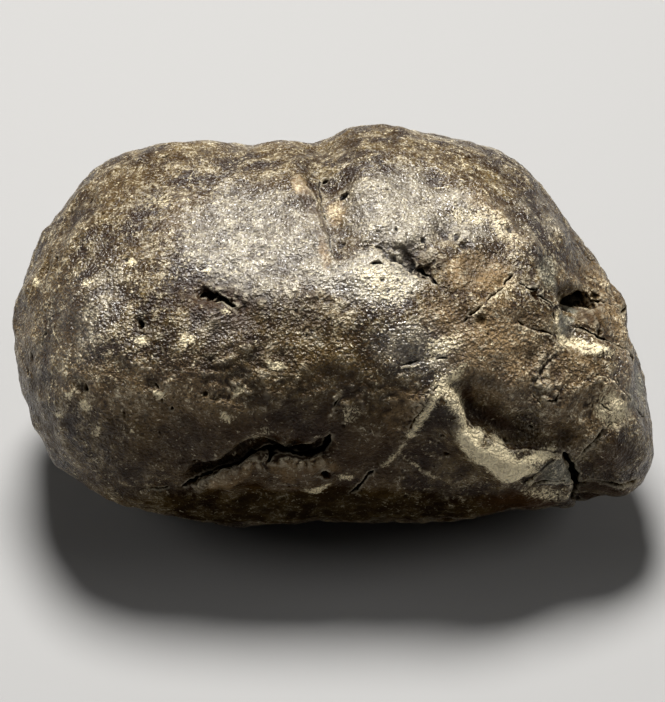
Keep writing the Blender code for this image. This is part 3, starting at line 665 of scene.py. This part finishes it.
class Carving:
    """The nodule's points, with how far each is to move, and its share of every tint."""

    def __init__(self, piece):
        self.mesh = piece.data
        self.places = read_points(self.mesh, "co")
        self.normals = read_points(self.mesh, "normal")
        self.marked_at = strayed(self.places, WANDER)
        self.swell = 1 + SWELL[1] * waves_at(self.places, SWELL[0])
        self.moves = np.zeros_like(self.places)
        self.tints = {name: np.zeros(len(self.places)) for name in TINTS}

    def near_line(self, line, reach, fade=SHORTEST_FADE * MM):
        """Indices of the points within reach of the line, their distance from it in metres, above 0 on its
        left, the way to its left, and the share of the mark that reaches them: 1 along the line, fading at
        both ends."""
        low, high = line[0].min(axis=0) - reach, line[0].max(axis=0) + reach
        found = np.flatnonzero(((self.marked_at > low) & (self.marked_at < high)).all(axis=1))
        places = self.marked_at[found]
        nearest = np.full(len(found), np.inf)
        left = np.zeros((len(found), 3))
        side = np.ones(len(found))
        run_to = np.zeros(len(found))
        lengths = np.linalg.norm(np.diff(line[0], axis=0), axis=1)
        for k, span in enumerate(lengths):
            run = (line[0][k + 1] - line[0][k]) / span
            t = np.clip((places - line[0][k]) @ run, 0, span)
            offset = places - line[0][k] - t[:, None] * run
            distance = np.linalg.norm(offset, axis=1)
            closer = distance < nearest
            nearest[closer] = distance[closer]
            left[closer] = np.cross(line[1][k], run)
            side[closer] = offset[closer] @ np.cross(line[1][k], run)
            run_to[closer] = lengths[:k].sum() + t[closer]
        ends = np.minimum(run_to, lengths.sum() - run_to)
        kept = nearest < reach
        signed = np.copysign(nearest, side)[kept]
        return found[kept], signed, left[kept], eased(ends[kept] / fade + END_RISE)

    def tint(self, name, found, shares):
        self.tints[name][found] = np.maximum(self.tints[name][found], shares)

    def crack(self, line, depth, half_width, slant):
        found, distance, left, kept = self.near_line(line, CRACK_SEARCH * half_width)
        out = abs(distance) / (half_width * self.swell[found] * (CRACK_TIP + (1 - CRACK_TIP) * kept))
        inwards = -self.normals[found] + slant * left
        self.moves[found] += (depth * eased(CRACK_RIM - out) * kept)[:, None] * inwards
        # painted shade in the crack, with dirt: darker the deeper the crack
        dirt_and_shade = min(1, LEAST_DIRT_AND_SHADE + depth / (DIRT_AND_SHADE_DEPTH * MM))
        self.tint("soot", found, eased(DIRT_AND_SHADE_RIM - out) * kept * dirt_and_shade)

    def ridge(self, line, height, half_width, pale):
        found, distance, _, kept = self.near_line(line, RIDGE_FOOT * half_width)
        profile = eased(1 - abs(distance) / (RIDGE_FOOT * half_width)) * kept
        self.moves[found] += height * profile[:, None] * self.normals[found]
        self.tint("cream", found, profile * pale)

    def edge(self, line, sheet, height, left, right, pale):
        fade = max(SHORTEST_FADE * MM, EDGE_FADE * left)
        found, distance, _, kept = self.near_line(line, max(left, right), fade)
        profile = np.where(distance > 0, 1 - distance / left, eased(1 + distance / right)) * kept
        outwards = self.normals[found] - np.array(sheet_axes(sheet)[2])
        outwards /= np.linalg.norm(outwards, axis=1)[:, None]
        self.moves[found] += height * np.maximum(profile, 0)[:, None] * outwards
        # pale worn edge, partly painted light where it faces up
        self.tint("cream", found, profile * pale)

    def boring(self, middle, depth, radius, dark):
        swell = 1 if radius > WIDEST_SWELL * MM else self.swell
        distance = np.linalg.norm(self.marked_at - middle, axis=1) / swell
        found = np.flatnonzero(distance < radius)
        t = distance[found] / radius
        self.moves[found] -= (depth * (1 - t**2) ** BOWL)[:, None] * self.normals[found]
        # painted shade in the hole, with dirt
        self.tint("soot", found, dark * eased(BOWL_DIRT_AND_SHADE * (1 - t)))

    def patch(self, name, sheet, strength, size, turn, middle):
        """Tints what the sheet's eye sees within an oval, with an uneven edge."""
        along, up, facing = self.seen[sheet]
        cos, sin = math.cos(math.radians(turn)), math.sin(math.radians(turn))
        across, over = along - middle[0], up - middle[1]
        out = np.hypot((across * cos + over * sin) / size[0], (over * cos - across * sin) / size[1])
        self.tint(name, slice(None), strength * eased(PATCH_RIM - out) * eased(facing / GRAZING))

    def look(self):
        """Where each sheet's eye sees each point, in mm, and how squarely."""
        self.seen = {}
        places = strayed(self.places, PATCH_EDGE)
        for sheet in SHEETS:
            right, up, ahead, eye = sheet_axes(sheet)
            rays = places - np.array(eye)
            scale = EYE_DISTANCE / (rays @ np.array(ahead)) / MM
            facing = -(self.normals * rays).sum(axis=1) / np.linalg.norm(rays, axis=1)
            self.seen[sheet] = (rays @ np.array(right) * scale, rays @ np.array(up) * scale, facing)

    def uneven(self, height):
        """Raises and lowers every point by the worn or the broken relief."""
        broken = self.tints["broken"]
        total = np.zeros(len(self.places))
        for wavelength, worn, crag in RELIEF:
            waves = waves_at(self.places, wavelength)
            crags = CRAG_STEEPNESS * abs(waves) - CRAG_FLOOR
            total += (worn * waves * (1 - broken) + crag * crags * broken) * MM
        self.moves += height * total[:, None] * self.normals
        # kept as a tint, by which the dips of the relief are painted darker, as shade
        self.tints["relief"] = np.clip(0.5 + total / (RELIEF_SPAN * MM), 0, 1)

    def wear(self, placed):
        """How each point stands to those round it: 0 in a crease, 0.5 on level ground, 1 on an edge."""
        ends = np.empty(len(self.mesh.edges) * 2, np.int32)
        self.mesh.edges.foreach_get("vertices", ends)
        one, other = ends.reshape(-1, 2).T
        count = np.bincount(ends, minlength=len(placed))

        def around(values):
            """The mean of what the neighbours of each point hold."""
            ahead = np.bincount(one, values[other], len(placed))
            behind = np.bincount(other, values[one], len(placed))
            return (ahead + behind) / count

        mean = np.column_stack([around(placed[:, axis]) for axis in range(3)])
        span = np.linalg.norm(placed[one] - placed[other], axis=1)
        spans = (np.bincount(one, span, len(placed)) + np.bincount(other, span, len(placed))) / count
        bend = ((placed - mean) * self.normals).sum(axis=1) / spans**2 * MM
        for _ in range(WEAR_SMOOTHING):
            bend = (bend + around(bend)) / 2
        return np.clip(0.5 + bend, 0, 1)

    def write(self):
        """Moves the points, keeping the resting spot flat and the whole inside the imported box."""
        rise = eased(self.places[:, 2] / (FLOOR_FADE * MM))
        placed = self.places + self.moves * rise[:, None]
        placed[self.places[:, 2] < FLAT_BELOW * MM, 2] = 0
        placed = np.clip(placed, np.array(CAD_BOX[0]), np.array(CAD_BOX[1]))
        self.tints["wear"] = self.wear(placed)
        self.mesh.vertices.foreach_set("co", placed.astype(np.float32).ravel())
        for name, shares in self.tints.items():
            layer = self.mesh.attributes.new(name, "FLOAT", "POINT")
            layer.data.foreach_set("value", shares.astype(np.float32))
        self.mesh.update()


def split_near(piece, marks, reach):
    """Splits the faces within reach of the marks' points in four."""
    tree = KDTree(len(marks))
    for k, place in enumerate(marks):
        tree.insert(place, k)
    tree.balance()
    mesh = piece.data
    near = [tree.find(polygon.center)[2] < reach for polygon in mesh.polygons]
    bpy.ops.object.mode_set(mode="EDIT")
    bpy.ops.mesh.select_mode(type="FACE")
    bpy.ops.mesh.select_all(action="DESELECT")
    bpy.ops.object.mode_set(mode="OBJECT")
    mesh.polygons.foreach_set("select", near)
    bpy.ops.object.mode_set(mode="EDIT")
    bpy.ops.mesh.subdivide(number_cuts=1, smoothness=0, ngon=False, quadcorner="INNERVERT")
    bpy.ops.object.mode_set(mode="OBJECT")


def scattered(piece, count):
    """Pocks all over, as (middle, depth, radius), in metres: mostly small, a few larger."""
    rng = np.random.default_rng(POCK_SEED)
    places = read_points(piece.data, "co")
    chosen = rng.choice(len(places), count, replace=False)
    radii = (POCK_RADIUS[0] + POCK_RADIUS[1] * rng.random(count) ** 3) * MM
    pocks = []
    for k, radius in zip(chosen, radii):
        pocks.append((places[k], radius * (POCK_DEPTH[0] + POCK_DEPTH[1] * rng.random()), radius))
    return pocks


# Patterns of the stone: name, size of the largest lumps in mm, detail and roughness. Real grains are finer,
# down to 0.05 mm, too fine to show, so the grit and the grains are drawn coarser.
PATTERNS = (
    ("mottle", 12.0, 3.0, 0.55),
    ("blotch", 3.4, 4.0, 0.62),
    ("speck", 1.1, 3.0, 0.7),
    ("grit", 0.45, 2.0, 0.7),
    ("dints", 0.55, 1.0, 0.5),
)
GRAIN_SIZE = 0.3  # mm
SEAM_SIZE = 1.0  # mm between the fine raised seams
SWIRL_SIZE, SWIRL_REACH = 1.6, 2.0  # mm, of the flow that draws grains and seams out into strokes
UNEVEN = (("blotch", 0.4), ("speck", 0.4), ("grains", 0.4))
# Coats of colour, from the ground up: what lays each on and by what weight, the sums at which it starts and
# is full, how far it covers, and its colour.
COATS = (
    ((("mottle", 0.6), ("blotch", 0.4)), 0.4, 0.58, 1.0, "brown"),
    ((("blotch", 0.7), ("speck", 0.3)), 0.48, 0.62, 0.8, "olive"),
    # worn grey, with a painted sheen on the tops
    ((("grey", 1.0), ("blotch", 1.3), ("speck", 0.4), ("grains", 0.3)), 1.5, 2.05, 0.9, "grey"),
    ((("tan", 1.0), *UNEVEN), 0.9, 1.5, 0.9, "tan"),
    ((("green", 1.0), *UNEVEN), 1.0, 1.4, 0.95, "green"),
    # painted shade in the hollow and low down, over plum-dark stone
    ((("plum", 1.0), *UNEVEN), 1.0, 1.4, 0.95, "plum"),
    ((("grains", 1.0), ("speck", 0.3), ("blotch", 0.5), ("plum", -0.1)), 1.15, 1.4, 0.7, "fleck"),
    ((("seams", -1.0), ("speck", 1.0), ("blotch", 0.6), ("plum", -0.2)), 0.76, 0.95, 0.6, "fleck"),
    # pale worn rims and spots, partly a painted highlight where they face up
    ((("cream", 1.0), ("grains", 0.9), ("speck", 0.5)), 1.1, 1.7, 1.0, "cream"),
    ((("cream", 0.4), ("grains", -0.8), ("speck", -0.4)), -0.2, 0.1, 0.3, "tan"),
    # sparse bright grains, partly painted glints
    ((("grains", 1.0), ("speck", 0.3), ("plum", -0.1)), 0.98, 1.12, 0.5, "cream"),
    ((("grains", 0.6), ("speck", 0.6), ("grit", 0.5), ("cream", 0.2)), 0.8, 0.5, 0.9, "dark_brown"),
    ((("broken", 0.5), ("blotch", 0.6), ("speck", 0.6)), 1.05, 1.3, 0.7, "dark_brown"),
    ((("wear", 1.0),), 0.6, 1.0, 0.4, "fleck"),
    # painted shade in creases, where the surface bends inwards
    ((("wear", 1.0), ("cream", 0.1)), 0.44, 0.1, 0.9, "dark_brown"),
    # painted shade in the dips of the relief
    ((("relief", 1.0), ("cream", 0.2)), 0.5, 0.2, 0.6, "dark_brown"),
    # painted shade, with dirt, in cracks, borings, the socket, above the fissure and under the belly
    ((("soot", 1.0),), 0.15, 0.8, 0.95, "soot"),
)
# What makes the stone rougher, in the same way, with how much rougher.
POLISHED = 0.22
DULLED = (
    ((("broken", 1.0),), 0.2, 1.0, 0.25),
    ((("grains", 1.0),), 0.3, 0.7, 0.2),
    ((("speck", 1.0),), 0.5, 0.35, 0.2),
    ((("plum", 1.0),), 0.2, 1.0, 0.2),
    ((("tan", 1.0),), 0.2, 1.0, 0.15),
    ((("soot", 1.0),), 0.1, 0.8, 0.3),
)
# How strongly it mirrors, in the same way: most on the grey tops, and not at all where the painted shade and
# dirt lie.
GLOSS = ((("grey", 1.0), ("blotch", 0.6), ("plum", -0.25), ("soot", -0.8)), -0.1, 1.3, 1.0)
HEIGHT = (("dints", 0.8), ("seams", -0.2), ("blotch", 0.6))  # of the grain, with the weight of each pattern
APATITE_IOR = 1.63


def phosphate(settings):
    """Water-worn phosphate: a dense, fine-grained brown stone, tumbled by sand and water. Its tops have a
    satin polish that breaks into glints over fine dints, with a painted grey sheen. Broken ground is matt and
    gritty. Cracks, borings, creases, dips and low ground are painted dark as shade, with dirt in the cracks
    and borings, and the rim and dish are painted pale where they face up to the light."""
    material = bpy.data.materials.new("water-worn phosphate")
    material.use_nodes = True
    tree = material.node_tree
    where = add_node(tree, "ShaderNodeTexCoord").outputs["Object"]
    layers = {}
    for name in (*TINTS, "wear"):
        layers[name] = add_node(tree, "ShaderNodeAttribute", {"attribute_name": name}).outputs["Fac"]
    for name, size, detail, roughness in PATTERNS:
        inputs = {"Vector": where, "Scale": 1 / (size * MM), "Detail": detail, "Roughness": roughness}
        layers[name] = add_node(tree, "ShaderNodeTexNoise", inputs=inputs).outputs["Fac"]
    inputs = {"Vector": where, "Scale": 1 / (SWIRL_SIZE * MM)}
    swirl = add_node(tree, "ShaderNodeTexNoise", inputs=inputs).outputs["Color"]
    inputs = {0: swirl, 1: (SWIRL_REACH * MM,) * 3, 2: where}
    swirled = add_node(tree, "ShaderNodeVectorMath", {"operation": "MULTIPLY_ADD"}, inputs).outputs["Vector"]
    inputs = {"Vector": swirled, "Scale": 1 / (GRAIN_SIZE * MM)}
    layers["grains"] = add_node(tree, "ShaderNodeTexVoronoi", inputs=inputs).outputs["Color"]
    inputs = {"Vector": swirled, "Scale": 1 / (SEAM_SIZE * MM)}
    seams = add_node(tree, "ShaderNodeTexVoronoi", {"feature": "DISTANCE_TO_EDGE"}, inputs)
    layers["seams"] = seams.outputs["Distance"]

    def weighed(parts):
        """What the layers add up to, each times its weight."""
        total = 0.0
        for name, weight in parts:
            inputs = {0: layers[name], 1: weight, 2: total}
            total = add_node(tree, "ShaderNodeMath", {"operation": "MULTIPLY_ADD"}, inputs).outputs["Value"]
        return total

    def laid(parts, start, full, most):
        """How thickly a coat lies: not at all where the parts add up to start, and most where to full."""
        inputs = {"Value": weighed(parts), "From Min": start, "From Max": full, "To Max": most}
        return add_node(tree, "ShaderNodeMapRange", inputs=inputs).outputs["Result"]

    shade = (*settings.dark_brown, 1)
    for parts, start, full, most, paint in COATS:
        inputs = {0: laid(parts, start, full, most), MIX_A: shade, MIX_B: (*getattr(settings, paint), 1)}
        shade = add_node(tree, "ShaderNodeMix", {"data_type": "RGBA"}, inputs).outputs[MIXED]
    rough = POLISHED
    for parts, start, full, most in DULLED:
        inputs = {0: rough, 1: laid(parts, start, full, most)}
        rough = add_node(tree, "ShaderNodeMath", {"operation": "ADD"}, inputs).outputs["Value"]
    inputs = {"Distance": settings.grain, "Height": weighed(HEIGHT)}
    bump = add_node(tree, "ShaderNodeBump", inputs=inputs).outputs["Normal"]
    shader = tree.nodes["Principled BSDF"]
    shader.inputs["Metallic"].default_value = 0.0
    shader.inputs["IOR"].default_value = APATITE_IOR
    tree.links.new(shade, shader.inputs["Base Color"])
    tree.links.new(rough, shader.inputs["Roughness"])
    tree.links.new(bump, shader.inputs["Normal"])
    tree.links.new(laid(*GLOSS), shader.inputs["Specular IOR Level"])
    return material


class COPROLITE_OT_nodule(bpy.types.Operator):
    """Draw out the nodule's surface, carve its marks and give it its finish"""

    bl_idname = "coprolite.nodule"
    bl_label = "Nodule"

    def execute(self, context):
        settings = context.scene.coprolite_nodule
        piece = drawn_out(settings)
        carried = carrier(piece)
        cracks = [(carried_line(carried, row[0], row[4]), *row[1:4]) for row in CRACKS]
        ridges = [(carried_line(carried, row[0], row[4]), *row[1:4]) for row in RIDGES]
        edges = [(carried_line(carried, row[0], row[5]), *row[:5]) for row in EDGES]
        borings = [(carried(row[0], *row[4])[0], *row[1:4]) for row in BORINGS]
        pocks = scattered(piece, settings.pocks)
        narrow = [place for line, *_ in cracks + edges for place in line[0]] + [row[0] for row in borings]
        fine = narrow + [place for line, *_ in ridges for place in line[0]] + [pock[0] for pock in pocks]
        split_near(piece, fine, FINE_REACH * MM)
        split_near(piece, narrow, NARROW_REACH * MM)

        carving = Carving(piece)
        carving.look()
        for name, rows in PATCHES.items():
            for sheet, strength, half_length, half_width, turn, middle in rows:
                carving.patch(name, sheet, strength, (half_length, half_width), turn, middle)
        carving.uneven(settings.relief)
        deep = settings.carving * MM
        for line, height, half_width, pale in ridges:
            carving.ridge(line, height * deep, half_width * MM, pale)
        for line, sheet, height, left, right, pale in edges:
            carving.edge(line, sheet, height * deep, left * MM, right * MM, pale)
        for line, depth, half_width, slant in cracks:
            carving.crack(line, depth * deep, half_width * MM, slant)
        for middle, depth, radius, dark in borings:
            carving.boring(middle, depth * deep, radius * MM, dark)
        for middle, depth, radius in pocks:
            carving.boring(middle, depth * settings.carving, radius, POCK_DARK)
        carving.write()
        triangles = sum(len(polygon.vertices) - 2 for polygon in piece.data.polygons)
        select_only(piece)
        apply_modifier(piece, "DECIMATE", ratio=MOST_TRIANGLES / triangles)

        piece.data.materials.append(phosphate(settings))
        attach(piece, "root")
        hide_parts(NODE)
        return {"FINISHED"}


class COPROLITE_OT_stage(bpy.types.Operator):
    """Lay the floor, hang the lights and set up the camera"""

    bl_idname = "coprolite.stage"
    bl_label = "Stage"

    def execute(self, context):
        settings = context.scene.coprolite_stage
        bpy.ops.object.select_all(action="DESELECT")
        bpy.ops.mesh.primitive_plane_add(size=settings.floor_size, location=(0, 0, 0))
        floor = context.object
        floor.name = "floor"
        # plain card with no glaze, so it is one soft, even tone with no glints
        card = bpy.data.materials.new("matt card")
        card.use_nodes = True
        shader = card.node_tree.nodes["Principled BSDF"]
        shader.inputs["Base Color"].default_value = (*settings.floor, 1)
        shader.inputs["Roughness"].default_value = CARD_ROUGHNESS
        floor.data.materials.append(card)

        for name, place, width in LIGHTS:
            self.hang(name + " light", Vector(place), width, getattr(settings, name + "_power"))
        world = bpy.data.worlds.new("studio")
        world.use_nodes = True
        background = world.node_tree.nodes["Background"]
        background.inputs["Color"].default_value = (1.0, 1.0, 1.0, 1)
        background.inputs["Strength"].default_value = settings.sky
        context.scene.world = world

        _, _, ahead, eye = sheet_axes("front")
        bpy.ops.object.camera_add(location=eye, rotation=ahead.to_track_quat("-Z", "Y").to_euler())
        camera = context.object.data
        camera.sensor_fit = "VERTICAL"
        camera.sensor_height = SENSOR
        camera.lens = settings.focal_length
        camera.shift_y = VIEW_SHIFT
        context.scene.camera = context.object
        context.scene.view_settings.view_transform = "Standard"
        return {"FINISHED"}

    def hang(self, name, offset, width, watts):
        """A round soft light, aimed at the nodule's middle."""
        rotation = offset.to_track_quat("Z", "Y").to_euler()
        bpy.ops.object.light_add(type="AREA", location=SHEET_MIDDLE + offset, rotation=rotation)
        light = bpy.context.object
        light.name = name
        light.data.shape = "DISK"
        light.data.size = width
        light.data.energy = watts
        light.data.color = LIGHT_COLOUR


class COPROLITE_PT_panel(bpy.types.Panel):
    """Buttons and settings in the sidebar"""

    bl_label = "Fossil shark coprolite"
    bl_idname = "COPROLITE_PT_panel"
    bl_space_type = "VIEW_3D"
    bl_region_type = "UI"
    bl_category = "Coprolite"

    def draw(self, context):
        for operator, settings in (
            (COPROLITE_OT_nodule, context.scene.coprolite_nodule),
            (COPROLITE_OT_stage, context.scene.coprolite_stage),
        ):
            column = self.layout.column(align=True)
            for name in type(settings).__annotations__:
                column.prop(settings, name)
            column.operator(operator.bl_idname)


CLASSES = (NoduleSettings, StageSettings, COPROLITE_OT_nodule, COPROLITE_OT_stage, COPROLITE_PT_panel)


def register():
    for cls in CLASSES:
        bpy.utils.register_class(cls)
    bpy.types.Scene.coprolite_nodule = PointerProperty(type=NoduleSettings)
    bpy.types.Scene.coprolite_stage = PointerProperty(type=StageSettings)


def unregister():
    del bpy.types.Scene.coprolite_stage
    del bpy.types.Scene.coprolite_nodule
    for cls in reversed(CLASSES):
        bpy.utils.unregister_class(cls)


def main():
    register()
    bpy.ops.coprolite.nodule()
    bpy.ops.coprolite.stage()


if __name__ == "__main__":
    main()
